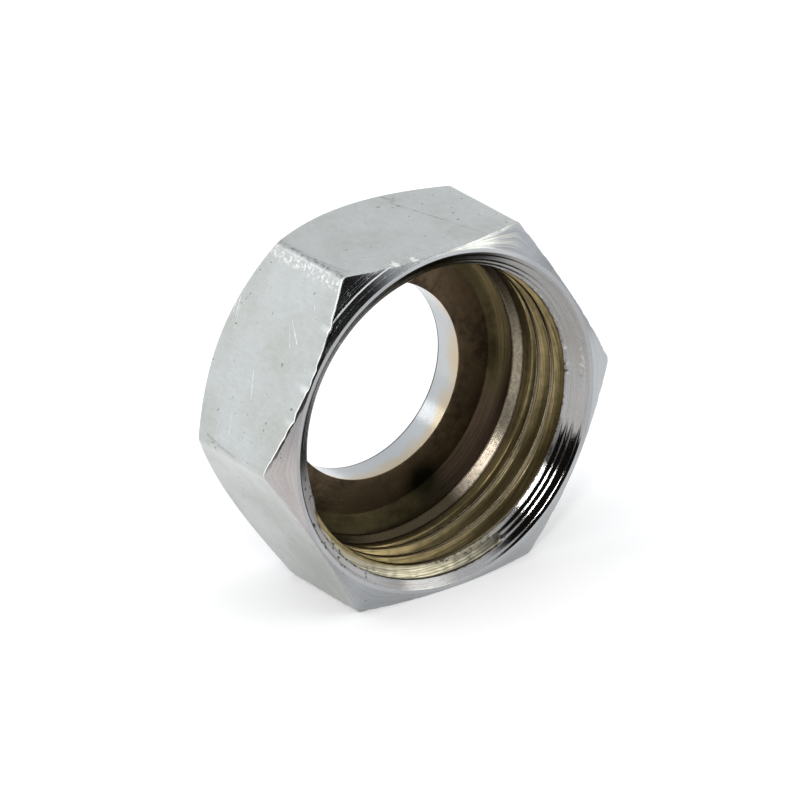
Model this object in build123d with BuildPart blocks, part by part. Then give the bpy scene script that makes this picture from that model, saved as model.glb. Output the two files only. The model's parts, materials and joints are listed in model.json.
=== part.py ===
"""Compression nut of a conduit fitting: a plated brass hexagon nut with an internal pipe thread.

Millimetres. The origin is on the nut's axis, in the plane of its open front face. +Y runs along the axis
from the open mouth to the shoulder at the back, +Z is square to the top flat, and the nut lies on the
flat that faces -Z.
"""

import os
from math import atan2, cos, degrees, radians, tan

from build123d import *

# Internal parallel pipe thread, 1 inch size, right-hand
THREADS_PER_INCH = 11
THREAD_MAJOR_DIAMETER = 33.249
THREAD_DEPTH_SHARE = 0.5216  # of the pitch, which bores the minor diameter to 30.84
THREAD_ROOT_SHARE = 1 / 6  # flat at the bottom of the groove, as a share of the pitch
THREAD_FLANK_ANGLE = 27.5  # degrees from a plane square to the axis
THREAD_END_ANGLE = 130.0  # where the groove stops, in degrees from +X towards +Z
THREAD_END_LAND = 1.55  # plain minor bore behind the groove's last cut
CUTS_PER_TURN = 3  # the groove is swept in lengths of a third of a turn

# Hexagon body
NUT_LENGTH = 16.1
HEXAGON_WALL = 1.3755  # from the thread's major diameter to a flat, which makes 36 across the flats
FRONT_RIM = 0.35  # width of the flat rim between the mouth and the front chamfer
FRONT_CHAMFER_ANGLE = 27.0  # degrees from the plane of the front face
BACK_RIM_INSET = 0.85  # from the flats in to the edge of the back face
BACK_CHAMFER_ANGLE = 45.0  # degrees from the plane of the back face

# Mouth and ring pocket
MOUTH_LEAD = 0.8755  # radial, from the thread's major diameter out to the edge of the countersink
MOUTH_ANGLE = 40.0  # degrees from the plane of the front face
RELIEF_CLEARANCE = 0.13  # radial, outside the thread's major diameter
RELIEF_LENGTH = 0.8
TAPER_WIDTH = 2.8  # radial, from the relief in to the flat seat
TAPER_ANGLE = 25.0  # degrees from the plane of the seat

# Conduit bore through the shoulder
CONDUIT_DIAMETER = 20.0
CONDUIT_CLEARANCE = 0.3  # radial
SHOULDER_THICKNESS = 3.8
BORE_EDGE_BREAK = 0.3

# Derived sizes
MM_PER_INCH = 25.4
PITCH = MM_PER_INCH / THREADS_PER_INCH
MAJOR_RADIUS = THREAD_MAJOR_DIAMETER / 2
MINOR_RADIUS = MAJOR_RADIUS - THREAD_DEPTH_SHARE * PITCH
HALF_FLATS = MAJOR_RADIUS + HEXAGON_WALL
CORNER_RADIUS = HALF_FLATS / cos(radians(30))
BLANK_RADIUS = CORNER_RADIUS + 1.0
MOUTH_RADIUS = MAJOR_RADIUS + MOUTH_LEAD
MOUTH_DEPTH = (MOUTH_RADIUS - MINOR_RADIUS) * tan(radians(MOUTH_ANGLE))
FRONT_FACE_RADIUS = MOUTH_RADIUS + FRONT_RIM
FRONT_CHAMFER_DEPTH = (BLANK_RADIUS - FRONT_FACE_RADIUS) * tan(radians(FRONT_CHAMFER_ANGLE))
BACK_FACE_RADIUS = HALF_FLATS - BACK_RIM_INSET
BACK_CHAMFER_DEPTH = (BLANK_RADIUS - BACK_FACE_RADIUS) * tan(radians(BACK_CHAMFER_ANGLE))
CONDUIT_BORE_RADIUS = CONDUIT_DIAMETER / 2 + CONDUIT_CLEARANCE
RELIEF_RADIUS = MAJOR_RADIUS + RELIEF_CLEARANCE
SEAT_RADIUS = RELIEF_RADIUS - TAPER_WIDTH
SEAT_DEPTH = NUT_LENGTH - SHOULDER_THICKNESS
TAPER_DEPTH = SEAT_DEPTH - TAPER_WIDTH * tan(radians(TAPER_ANGLE))
MINOR_BORE_END = TAPER_DEPTH - RELIEF_LENGTH
GROOVE_END = MINOR_BORE_END - THREAD_END_LAND
GROOVE_START = -PITCH  # clear of the nut, ahead of the mouth
GROOVE_STEPS = round(CUTS_PER_TURN * (GROOVE_END - GROOVE_START) / PITCH)
CUTTER_INNER_RADIUS = MINOR_RADIUS - PITCH / 10
CUTTER_DEPTH = MAJOR_RADIUS - CUTTER_INNER_RADIUS
ROOT_HALF_WIDTH = PITCH * THREAD_ROOT_SHARE / 2
CUTTER_HALF_WIDTH = ROOT_HALF_WIDTH + CUTTER_DEPTH * tan(radians(THREAD_FLANK_ANGLE))

# Square to the axis in the plane of the front face, and a half section out through the corner on -X
FRONT_PLANE = Plane(origin=(0, 0, 0), x_dir=(1, 0, 0), z_dir=(0, 1, 0))
CORNER_SECTION = Plane(origin=(0, 0, 0), x_dir=(-1, 0, 0), z_dir=(0, 0, -1))

# The thread's groove: one V cutter carried along a helix, from its last cut out through the mouth
with BuildPart() as thread_groove:
    with BuildLine() as groove_line:
        whole_groove = Helix(
            pitch=PITCH,
            height=GROOVE_END - GROOVE_START,
            radius=CUTTER_INNER_RADIUS,
            center=(0, GROOVE_END, 0),
            direction=(0, -1, 0),
            mode=Mode.PRIVATE,
        )
        for step in range(GROOVE_STEPS):
            add(whole_groove.trim(step / GROOVE_STEPS, (step + 1) / GROOVE_STEPS))
    groove_path = groove_line.wires()[0]
    last_cut = groove_path @ 0
    outward = Vector(last_cut.X, 0, last_cut.Z)
    with BuildSketch(Plane(origin=last_cut, x_dir=outward, z_dir=groove_path % 0)):
        with BuildLine():
            Polyline(
                (0, -CUTTER_HALF_WIDTH),
                (CUTTER_DEPTH, -ROOT_HALF_WIDTH),
                (CUTTER_DEPTH, ROOT_HALF_WIDTH),
                (0, CUTTER_HALF_WIDTH),
                close=True,
            )
        make_face()
    sweep(path=groove_path, is_frenet=True)

groove_turn = degrees(atan2(last_cut.Z, last_cut.X)) - THREAD_END_ANGLE
placed_groove = thread_groove.part.rotate(Axis.Y, groove_turn)

with BuildPart() as compression_nut:
    # Hexagon bar
    with BuildSketch(FRONT_PLANE):
        RegularPolygon(CORNER_RADIUS, 6)
    extrude(amount=NUT_LENGTH)

    # Both ends turned to a cone, which leaves a curved edge on each flat
    with BuildSketch(CORNER_SECTION):
        with BuildLine():
            Polyline(
                (0, 0),
                (FRONT_FACE_RADIUS, 0),
                (BLANK_RADIUS, FRONT_CHAMFER_DEPTH),
                (BLANK_RADIUS, NUT_LENGTH - BACK_CHAMFER_DEPTH),
                (BACK_FACE_RADIUS, NUT_LENGTH),
                (0, NUT_LENGTH),
                close=True,
            )
        make_face()
    revolve(axis=Axis.Y, mode=Mode.INTERSECT)

    # Conduit bore, with its outer edge broken
    with BuildSketch(FRONT_PLANE):
        Circle(CONDUIT_BORE_RADIUS)
    extrude(amount=NUT_LENGTH, mode=Mode.SUBTRACT)
    back_face = compression_nut.faces().sort_by(Axis.Y)[-1]
    chamfer(back_face.edges().filter_by(GeomType.CIRCLE).sort_by(SortBy.RADIUS)[0], BORE_EDGE_BREAK)

    # Pocket: countersunk mouth, minor bore, relief, taper that squeezes the ring, and flat seat
    with BuildSketch(CORNER_SECTION):
        with BuildLine():
            Polyline(
                (0, 0),
                (MOUTH_RADIUS, 0),
                (MINOR_RADIUS, MOUTH_DEPTH),
                (MINOR_RADIUS, MINOR_BORE_END),
                (RELIEF_RADIUS, MINOR_BORE_END),
                (RELIEF_RADIUS, TAPER_DEPTH),
                (SEAT_RADIUS, SEAT_DEPTH),
                (0, SEAT_DEPTH),
                close=True,
            )
        make_face()
    revolve(axis=Axis.Y, mode=Mode.SUBTRACT)

    # Thread
    add(placed_groove, mode=Mode.SUBTRACT)

compression_nut.part.label = "compression_nut"

os.makedirs("parts", exist_ok=True)
export_step(compression_nut.part, "parts/compression_nut.step")
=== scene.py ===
"""Looks of a plated brass compression nut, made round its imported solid.

Metres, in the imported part's frame: Y is the nut's axis, the open mouth lies in the plane y = 0 and faces
-Y, the shoulder is at the back, and the nut lies on the flat that faces -Z. Angles run from +X towards +Z.
"""

import functools
import json
import logging
import math
from dataclasses import dataclass
from enum import Enum

import bpy
import numpy as np
from mathutils import Matrix, Vector

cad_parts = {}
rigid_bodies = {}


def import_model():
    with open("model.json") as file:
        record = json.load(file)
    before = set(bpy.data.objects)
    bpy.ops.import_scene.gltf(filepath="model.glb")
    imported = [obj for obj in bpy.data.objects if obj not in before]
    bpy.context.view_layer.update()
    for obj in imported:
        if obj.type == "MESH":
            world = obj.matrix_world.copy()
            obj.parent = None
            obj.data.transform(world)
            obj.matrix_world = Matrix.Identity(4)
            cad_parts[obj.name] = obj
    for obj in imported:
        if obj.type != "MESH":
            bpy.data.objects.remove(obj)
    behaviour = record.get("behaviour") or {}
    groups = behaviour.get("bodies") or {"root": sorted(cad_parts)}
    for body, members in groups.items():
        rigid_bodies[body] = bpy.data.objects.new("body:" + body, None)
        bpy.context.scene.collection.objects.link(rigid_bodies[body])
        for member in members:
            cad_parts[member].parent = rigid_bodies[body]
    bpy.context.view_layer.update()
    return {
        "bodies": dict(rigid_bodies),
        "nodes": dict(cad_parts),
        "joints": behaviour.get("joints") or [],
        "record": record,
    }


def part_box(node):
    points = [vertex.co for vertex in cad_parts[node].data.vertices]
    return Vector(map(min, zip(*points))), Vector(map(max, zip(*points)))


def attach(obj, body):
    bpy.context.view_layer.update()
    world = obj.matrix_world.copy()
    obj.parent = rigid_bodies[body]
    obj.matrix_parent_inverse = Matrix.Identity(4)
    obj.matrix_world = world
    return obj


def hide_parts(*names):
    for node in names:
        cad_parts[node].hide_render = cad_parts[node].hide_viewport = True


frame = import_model()

log = logging.getLogger("compression_nut")
MM = 0.001
TURN = 2.0 * math.pi
SECTOR = math.pi / 3
SECTORS = 6
UV_TURNED = "turned"
WEAR = "wear"
GRIME_AND_SHADE = "grime"
GROOVE = "groove"
CREST_HIGHLIGHT = "crest_line"
TARNISH_AND_SHADE = "tarnish"
MARKS = (WEAR, GRIME_AND_SHADE, GROOVE, CREST_HIGHLIGHT, TARNISH_AND_SHADE)
Marks = dict[str, np.ndarray]
Pair = tuple[float, float]
Pairs = tuple[Pair, Pair]
Triple = tuple[float, float, float]
Colour = tuple[float, float, float, float]
Socket = bpy.types.NodeSocket
Value = Socket | float


class Zone(Enum):
    """The stretches of the nut's section, in order round it from the front rim."""

    FRONT_RIM = 0
    COUNTERSINK = 1
    THREAD = 2
    UNDERCUT = 3
    RELIEF = 4
    TAPER = 5
    SEAT = 6
    CONDUIT_BORE = 7
    BORE_EDGE = 8
    BACK_FACE = 9
    BACK_CHAMFER = 10
    FLATS = 11
    FRONT_CHAMFER = 12


@dataclass(frozen=True)
class NutSizes:
    """Sizes of the nut in millimetres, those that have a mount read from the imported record."""

    half_flats: float
    length: float
    crest_radius: float
    bore_radius: float
    seat_depth: float
    root_radius: float = 16.6245
    pitch: float = 25.4 / 11
    flank_angle: float = 27.5
    root_share: float = 1 / 6
    groove_at_zero: float = 2.543
    groove_end: float = 8.64
    thread_end: float = 10.19
    mouth_radius: float = 17.43
    mouth_angle: float = 40.0
    rim_radius: float = 17.80
    front_chamfer_angle: float = 27.0
    relief_radius: float = 16.7545
    taper_start: float = 10.99
    seat_radius: float = 13.95
    bore_edge: float = 0.3
    back_rim_radius: float = 17.15
    corner_round: float = 0.8

    @classmethod
    def from_frame(cls, packed: dict) -> "NutSizes":
        """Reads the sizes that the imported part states.


        Returns:
            The nut's sizes.
        """
        low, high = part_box("compression_nut")
        mounts = {mount["name"]: mount for mount in packed["record"]["mounts"]}
        return cls(
            half_flats=(high.z - low.z) / 2 / MM,
            length=(high.y - low.y) / MM,
            crest_radius=mounts["thread"]["dims"]["r_mm"],
            bore_radius=mounts["conduit_bore"]["dims"]["r_mm"],
            seat_depth=mounts["ring_seat"]["pos_m"][1] / MM,
        )


def soft_max(a: np.ndarray, b: np.ndarray, blend: float) -> np.ndarray:
    """The larger of two fields with a rounded change-over: (a + b + sqrt((a - b)^2 + blend^2)) / 2.

    Args:
        a: the first field.
        b: the second field.
        blend: width of the rounding, in the fields' unit.

    Returns:
        The blended field.
    """
    return 0.5 * (a + b + np.sqrt((a - b) ** 2 + blend**2))


def smooth_step(x: np.ndarray, low: float, high: float) -> np.ndarray:
    """The cubic step 3t^2 - 2t^3, with t running from 0 at low to 1 at high.

    Args:
        x: the field.
        low: where the step starts.
        high: where the step ends.

    Returns:
        The step's value, from 0 to 1.
    """
    t = np.clip((x - low) / (high - low), 0.0, 1.0)
    return t * t * (3.0 - 2.0 * t)


def turn_step(angle: np.ndarray, low: float, high: float) -> np.ndarray:
    """A smooth step on an angle in radians, with its ends in degrees."""
    return smooth_step(angle, math.radians(low), math.radians(high))


def bell(x: np.ndarray, middle: float, width: float) -> np.ndarray:
    """A bell curve: exp(-((x - middle) / width)^2)."""
    return np.exp(-(((x - middle) / width) ** 2))


@dataclass(frozen=True)
class Window:
    """A stretch of a field that fades in over the pair called rise and out over the pair called fall."""

    rise: Pair
    fall: Pair

    def over(self, x: np.ndarray) -> np.ndarray:
        """The stretch on a length, as the product of two smooth steps."""
        return smooth_step(x, *self.rise) * (1 - smooth_step(x, *self.fall))

    def turned(self, angle: np.ndarray) -> np.ndarray:
        """The stretch on an angle in radians, with the pairs in degrees."""
        return turn_step(angle, *self.rise) * (1 - turn_step(angle, *self.fall))


@dataclass(frozen=True)
class NoiseLayer:
    """A layer of woven noise: cells round the turn, cell length in mm, number of the field, and height."""

    waves: int
    span: float
    part: int
    height: float = 1.0


@dataclass(frozen=True)
class WovenNoise:
    """Smooth random fields on an angle that closes on itself and a length along the section."""

    seed: int
    rows: int = 512

    def field(self, angle: np.ndarray, length: np.ndarray, layer: NoiseLayer) -> np.ndarray:
        """A lattice of random values with cubic steps between them, periodic in angle.

        Args:
            angle: angle round the axis, in radians.
            length: length along the section, in millimetres.
            layer: the layer's cells, number and height.

        Returns:
            The field, from minus to plus the layer's height.
        """
        rng = np.random.default_rng(self.seed * 1000 + layer.part)
        lattice = rng.uniform(-1.0, 1.0, (self.rows, layer.waves))
        u = np.mod(angle / TURN, 1.0) * layer.waves
        v = np.mod(length / layer.span, self.rows)
        iu, iv = np.floor(u).astype(int) % layer.waves, np.floor(v).astype(int) % self.rows
        fu, fv = u - np.floor(u), v - np.floor(v)
        fu, fv = fu * fu * (3 - 2 * fu), fv * fv * (3 - 2 * fv)
        ju, jv = (iu + 1) % layer.waves, (iv + 1) % self.rows
        low = lattice[iv, iu] * (1 - fu) + lattice[iv, ju] * fu
        high = lattice[jv, iu] * (1 - fu) + lattice[jv, ju] * fu
        return layer.height * (low * (1 - fv) + high * fv)


@dataclass(frozen=True)
class SectionRun:
    """One straight stretch of the section: its zone, its rows and how far its start corner is cut back."""

    zone: Zone
    rows: int
    corner_cut: float


RUN_ROWS = (2, 36, 112, 2, 3, 10, 9, 5, 1, 7, 5, 20, 8)
CORNER_CUTS = (0.045, 0.05, 0.02, 0.05, 0.08, 0.08, 0.05, 0.06, 0.05, 0.05, 0.06, 0.06, 0.05)
SECTION_RUNS = tuple(SectionRun(*run) for run in zip(Zone, RUN_ROWS, CORNER_CUTS))


@dataclass(frozen=True)
class MouthWork:
    """How the mouth is cut, torn and stained, and where highlights, shade and a dark reflection are painted:
    lengths in mm, arcs in degrees, and shares from 0 up.
    """

    ring_feed: float = 0.38
    ring_tilt: float = 5.5
    ring_start: float = 45.0
    ring_soft: float = 0.03
    ring_bands: tuple[Pair, ...] = ((0.33, 0.50), (1.08, 1.34), (1.64, 1.88), (2.20, 2.60))
    ring_fade: Pair = (0.05, 0.2)
    ragged: tuple[NoiseLayer, ...] = (NoiseLayer(150, 0.3, 1, 0.030), NoiseLayer(366, 0.15, 2, 0.015))
    near_mouth: Pair = (1.6, 2.6)
    near_lip: Window = Window((1.55, 1.75), (3.40, 3.60))  # in radians, unlike the other arcs
    lip_depth: Pair = (2.3, 2.7)
    groove_start: Pair = (292, 299)
    start_depth: Pair = (1.55, 1.9)
    ragged_start: Pair = (64, 76)
    meet_widths: Triple = (0.08, 0.09, 0.22)  # plain, and what the near lip and the ragged start add
    burr: NoiseLayer = NoiseLayer(183, 0.25, 3)
    burr_arc: Pair = (285, 300)
    burr_height: float = 0.03
    merge: float = 0.03
    edge_margin: Pair = (-0.05, -0.3)
    speck: NoiseLayer = NoiseLayer(366, 0.2, 4)
    bright_burr: Pair = (0.3, 0.3)  # share, and the speck from which it shows
    meet_grime: Triple = (0.85, 0.6, 0.25)  # share, what specks add, and what the ragged start loses
    white_specks: Pair = (1.4, 0.1)  # share, and the speck from which they show
    groove_height: Pair = (0.02, 0.10)
    groove_depth: Pair = (8.95, 9.05)
    stained_arc: Window = Window((196, 204), (284, 301))
    stained_depth: Window = Window((0.80, 0.90), (1.7, 1.9))
    chips: tuple[float, ...] = (6.0, 0.05, 0.78, 0.11, 1.5)  # share, least speck, depth, width, most
    # painted highlight: the thin lit line along each crest, as a window on the distance from the groove's
    # centre
    lit_crest: Window = Window((-1.00, -0.93), (-0.82, -0.74))
    # painted shade just behind each crest's lit line
    shaded_crest: Window = Window((-0.80, -0.66), (-0.48, -0.25))
    crest_depth: Window = Window((2.0, 2.5), (7.1, 7.3))
    lit_from: Pair = (272, 300)
    lit_until: Pair = (20, 70)
    lit_shares: Pair = (0.35, 1.2)  # everywhere, and what the arc that faces the light adds
    shaded_share: float = 0.55
    # painted dark reflection on the upper countersink, just inside the mouth
    dark_reflection_arc: Window = Window((56, 72), (103, 108))
    dark_reflection_depth: Window = Window((0.0, 0.06), (0.45, 1.0))
    rim_right: Pairs = ((326, 338), (50, 62))
    rim_left: Window = Window((98, 112), (196, 214))
    rim_shares: Pair = (0.28, 0.24)  # right, left
    blot: tuple[float, ...] = (1.5, 293.5, 0.15, 13.5, 2.0)  # share, angle, spread in radians, radius, width
    # painted shade over the lower left of the seat and the taper, stronger on the taper
    dull_arc: Window = Window((200, 225), (262, 290))
    painted_shade_shares: Pair = (0.28, 0.30)  # seat, and what the taper adds
    painted_shade_taper: Pair = (13.9, 14.2)


@dataclass(frozen=True)
class Notch:
    """A nick in a front edge: its angle and half width in degrees, and its depth in millimetres."""

    place: float
    half: float
    depth: float

    def over(self, angle: np.ndarray) -> np.ndarray:
        """Its shape on an angle in radians: a tent that is 1 at its place and 0 at its half width."""
        return np.clip(1 - np.abs(np.degrees(angle) - self.place) / self.half, 0, 1)


@dataclass(frozen=True)
class EdgeWork:
    """How the hexagon's edges and flats are nicked, worn and bowed, where a band beside each corner is
    darkened, and where painted shade darkens the front chamfer: lengths in mm, arcs in degrees.
    """

    bright_notches: tuple[Notch, ...] = (Notch(105.0, 1.3, 0.42), Notch(98.5, 1.2, 0.16))
    other_notches: tuple[Notch, ...] = (
        Notch(95.0, 1.2, 0.12), Notch(133.0, 1.5, 0.18), Notch(152.0, 1.4, 0.22), Notch(163.0, 1.2, 0.15)
    )
    sharp: NoiseLayer = NoiseLayer(366, 1.0, 11)
    wide: NoiseLayer = NoiseLayer(120, 1.0, 12)
    sharp_nick: Pair = (0.45, 0.12)  # the noise from which it cuts, and its depth
    wide_nick: Pair = (0.35, 0.10)
    rim_step: float = 0.02
    nick_reach: float = 0.35
    keen_off: Window = Window((114, 120), (180, 186))
    keen_wear: Triple = (0.45, 2.5, 0.2)  # share, gain by nick depth, and least
    notch_wear: float = 3.0
    rubbed_corner: Triple = (0.12, 0.72, 122)  # share, and what the corner at the angle adds
    rubbed_line: Pair = (0.85, 0.42)  # distance past the corner, and width
    # a darker band just off each corner: share, what the corner at the angle adds, and the angle
    corner_darkening: Triple = (0.10, 0.44, 120)
    darkening_line: Pair = (-0.12, 0.34)
    corner_spread: float = 0.2
    # painted shade on stretches of the front chamfer: upper right and upper left, then lower left
    pale: tuple[Window, ...] = (Window((8, 18), (44, 54)), Window((124, 134), (168, 180)))
    shaded_low_left: Window = Window((196, 206), (218, 232))
    chamfer_shade_shares: Pair = (0.34, 0.16)  # pale, low left
    bow: NoiseLayer = NoiseLayer(24, 6.0, 21, 0.02)


@dataclass
class Grid:
    """The shell before it is a mesh: column angles, (r, y) in mm by row and column, zones, and marks."""

    angle: np.ndarray
    rows: np.ndarray
    zones: np.ndarray
    marks: Marks

    def rows_of(self, *zones: Zone) -> np.ndarray:
        """The numbers of the rows that lie in the zones."""
        return np.flatnonzero(np.isin(self.zones, [zone.value for zone in zones]))


@dataclass
class NutShell:
    """The whole nut as one closed surface: its section carried round the axis, column by column.

    A point is (r cos t, y, r sin t). The section (r, y) is a closed polygon whose corners are quadratic
    curves; on the hexagon r is half_flats / cos(angle from the middle of the flat), with rounded corners.
    """

    sizes: NutSizes
    mouth: MouthWork = MouthWork()
    edges: EdgeWork = EdgeWork()
    columns_between_corners: int = 54
    corner_columns: tuple[float, ...] = (-1.0, -0.66, -0.33, 0.0, 0.33, 0.66, 1.0)
    corner_reach: float = 0.6
    corner_rows: int = 3
    corner_share: float = 0.3
    root_round: float = 0.10
    crest_round: float = 0.16
    crest_ease: float = 0.002
    fade_length: float = 0.10
    fade_base: float = 0.5
    run_out: tuple[Pair, ...] = ((7.25, 0.0), (7.75, 0.50), (9.22, 0.50), (9.95, -0.20), (10.19, -0.20))
    noise: WovenNoise = WovenNoise(7)

    def angles(self) -> np.ndarray:
        """Column angles in radians, even along each flat and close together at each corner."""
        reach = math.degrees(self.round_reach())
        margin, flat = reach + self.corner_reach, 360 / SECTORS
        near = np.array(self.corner_columns) * reach
        along = np.linspace(margin, flat - margin, self.columns_between_corners)
        sector = np.concatenate([near, along])
        return np.radians(np.concatenate([sector + flat * k for k in range(SECTORS)]))

    def round_centre(self) -> float:
        """Distance from the axis to the centre of a hexagon corner's rounding, in millimetres."""
        return (self.sizes.half_flats - self.sizes.corner_round) / math.cos(SECTOR / 2)

    def round_reach(self) -> float:
        """Half the angle that a hexagon corner's rounding takes up, in radians."""
        size = self.sizes.corner_round
        return math.atan2(size * math.sin(SECTOR / 2), self.round_centre() + size * math.cos(SECTOR / 2))

    def hexagon_radius(self, angle: np.ndarray) -> np.ndarray:
        """Distance from the axis to the hexagon.

        On a flat it is half_flats / cos(angle from its middle). In a corner it is where the ray leaves the
        rounding circle: c cos d + sqrt(q^2 - c^2 sin^2 d), with c the circle's centre, q its radius and d the
        angle from it.

        Args:
            angle: column angles in radians.

        Returns:
            The radius at each angle, in millimetres.
        """
        off_flat = np.mod(angle, SECTOR) - SECTOR / 2
        off_corner = np.mod(angle + SECTOR / 2, SECTOR) - SECTOR / 2
        flat = self.sizes.half_flats / np.cos(off_flat)
        centre = self.round_centre()
        inside = np.maximum(self.sizes.corner_round**2 - (centre * np.sin(off_corner)) ** 2, 0.0)
        arc = centre * np.cos(off_corner) + np.sqrt(inside)
        return np.where(np.abs(off_corner) <= self.round_reach() * 1.0001, arc, flat)

    def corners(self, angle: np.ndarray) -> np.ndarray:
        """The section's corner points at each column.

        Args:
            angle: column angles in radians.

        Returns:
            An array of corners by columns by (r, y), in millimetres.
        """
        s = self.sizes
        hexagon = self.hexagon_radius(angle)
        front = (hexagon - s.rim_radius) * math.tan(math.radians(s.front_chamfer_angle))
        back = s.length - (hexagon - s.back_rim_radius)
        mouth_end = (s.mouth_radius - s.crest_radius) * math.tan(math.radians(s.mouth_angle))
        fixed = (
            (s.rim_radius, 0.0),
            (s.mouth_radius, 0.0),
            (s.crest_radius, mouth_end),
            (s.crest_radius, s.thread_end),
            (s.relief_radius, s.thread_end),
            (s.relief_radius, s.taper_start),
            (s.seat_radius, s.seat_depth),
            (s.bore_radius, s.seat_depth),
            (s.bore_radius, s.length - s.bore_edge),
            (s.bore_radius + s.bore_edge, s.length),
            (s.back_rim_radius, s.length),
        )
        points = np.empty((len(SECTION_RUNS), angle.size, 2))
        points[: len(fixed)] = np.array(fixed)[:, None, :]
        points[Zone.FLATS.value] = np.stack([hexagon, back], axis=-1)
        points[Zone.FRONT_CHAMFER.value] = np.stack([hexagon, front], axis=-1)
        return points

    def section(self, angle: np.ndarray) -> tuple[np.ndarray, np.ndarray]:
        """The section's rows: a quadratic curve at each corner, and even rows along each straight.

        Args:
            angle: column angles in radians.

        Returns:
            An array of rows by columns by (r, y) in millimetres, and the zone of the strip after each row.
        """
        points = self.corners(angle)
        along = np.roll(points, -1, axis=0) - points
        reach = np.linalg.norm(along, axis=-1, keepdims=True)
        unit = along / reach
        ends, rows, zones = [], [], []
        for k, run in enumerate(SECTION_RUNS):
            cut = np.minimum(run.corner_cut, self.corner_share * np.minimum(reach[k], reach[k - 1]))
            ends.append((points[k] - unit[k - 1] * cut, points[k] + unit[k] * cut))
        for k, run in enumerate(SECTION_RUNS):
            before, after = ends[k]
            for step in range(self.corner_rows):
                t = step / (self.corner_rows - 1)
                rows.append((1 - t) ** 2 * before + 2 * t * (1 - t) * points[k] + t**2 * after)
                zones.append(SECTION_RUNS[k - 1].zone.value if t < 0.5 else run.zone.value)
            stop = ends[(k + 1) % len(SECTION_RUNS)][0]
            for step in range(1, run.rows + 1):
                rows.append(after + (stop - after) * (step / (run.rows + 1)))
                zones.append(run.zone.value)
        return np.array(rows), np.array(zones)

    def thread_radius(self, angle: np.ndarray, y: np.ndarray) -> np.ndarray:
        """Radius of the thread: a V groove along a right-hand helix, cut into the crest cylinder.

        The groove's centre is at groove_at_zero - pitch * angle / turn, plus whole pitches. At a distance d
        from it the flank's radius is root - (d - half root width) / tan(flank angle), held between root and
        crest. Behind the last turn a shallow run-out, given as (depth, step out from the crest), ends in a
        land with a 45-degree face.

        Args:
            angle: angles in radians.
            y: depths in millimetres.

        Returns:
            The radius in millimetres.
        """
        s = self.sizes
        phase = y - (s.groove_at_zero - s.pitch * angle / TURN)
        turns = np.round(phase / s.pitch)
        off = np.abs(phase - turns * s.pitch)
        centre = s.groove_at_zero - s.pitch * angle / TURN + turns * s.pitch
        slope = 1.0 / math.tan(math.radians(s.flank_angle))
        flank = s.root_radius - (off - s.pitch * s.root_share / 2) * slope
        groove = -soft_max(-flank, np.full_like(flank, -s.root_radius), self.root_round)
        fade = smooth_step(centre, s.groove_end + self.fade_length, s.groove_end)
        base = s.crest_radius - self.fade_base
        groove = base + (groove - s.crest_radius + self.fade_base) * fade
        cut = soft_max(np.full_like(groove, s.crest_radius), groove, self.crest_round) - self.crest_ease
        depths, steps = zip(*self.run_out)
        wall = np.interp(y, depths, [s.crest_radius + step for step in steps])
        return np.where(y < self.run_out[2][0], np.maximum(cut, wall), wall)

    def tool_rings(self, angle: np.ndarray, slope_run: np.ndarray) -> np.ndarray:
        """Height of the coarse tool marks in the countersink, along its normal, outwards from the metal.

        The cut is a stair of narrow cones, each tilted one way or the other: the height is the running sum of
        that tilt along the slope, less its mean. The stair winds inwards by one feed each turn.

        Args:
            angle: column angles in radians.
            slope_run: length down the cone from the mouth's edge in millimetres, rows by columns.

        Returns:
            The height in millimetres, rows by columns.
        """
        m = self.mouth
        turned = np.mod(angle + math.radians(m.ring_start) + math.pi, TURN) - math.pi
        wind = slope_run - m.ring_feed * turned / TURN
        steep = np.zeros_like(slope_run)
        for low, high in m.ring_bands:
            ends = Window((low - m.ring_soft, low + m.ring_soft), (high - m.ring_soft, high + m.ring_soft))
            steep += ends.over(wind)
        step = np.gradient(slope_run, axis=0)
        height = np.cumsum((0.5 - steep) * 2 * math.tan(math.radians(m.ring_tilt)) * step, axis=0)
        ramp = np.linspace(0, 1, height.shape[0])[:, None]
        return height - (height[:1] + (height[-1:] - height[:1]) * ramp)

    def cut_rings(self, grid: Grid) -> None:
        """Moves the countersink's rows along its normal by the height of its tool rings."""
        rows, cone = grid.rows, grid.rows_of(Zone.COUNTERSINK)
        lean = math.radians(self.sizes.mouth_angle)
        run = (self.sizes.mouth_radius - rows[cone, :, 0]) / math.cos(lean)
        rings = self.tool_rings(grid.angle, run)
        fade = smooth_step(run, *self.mouth.ring_fade)
        rows[cone, :, 0] -= rings * math.sin(lean) * fade
        rows[cone, :, 1] -= rings * math.cos(lean) * fade

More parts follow.
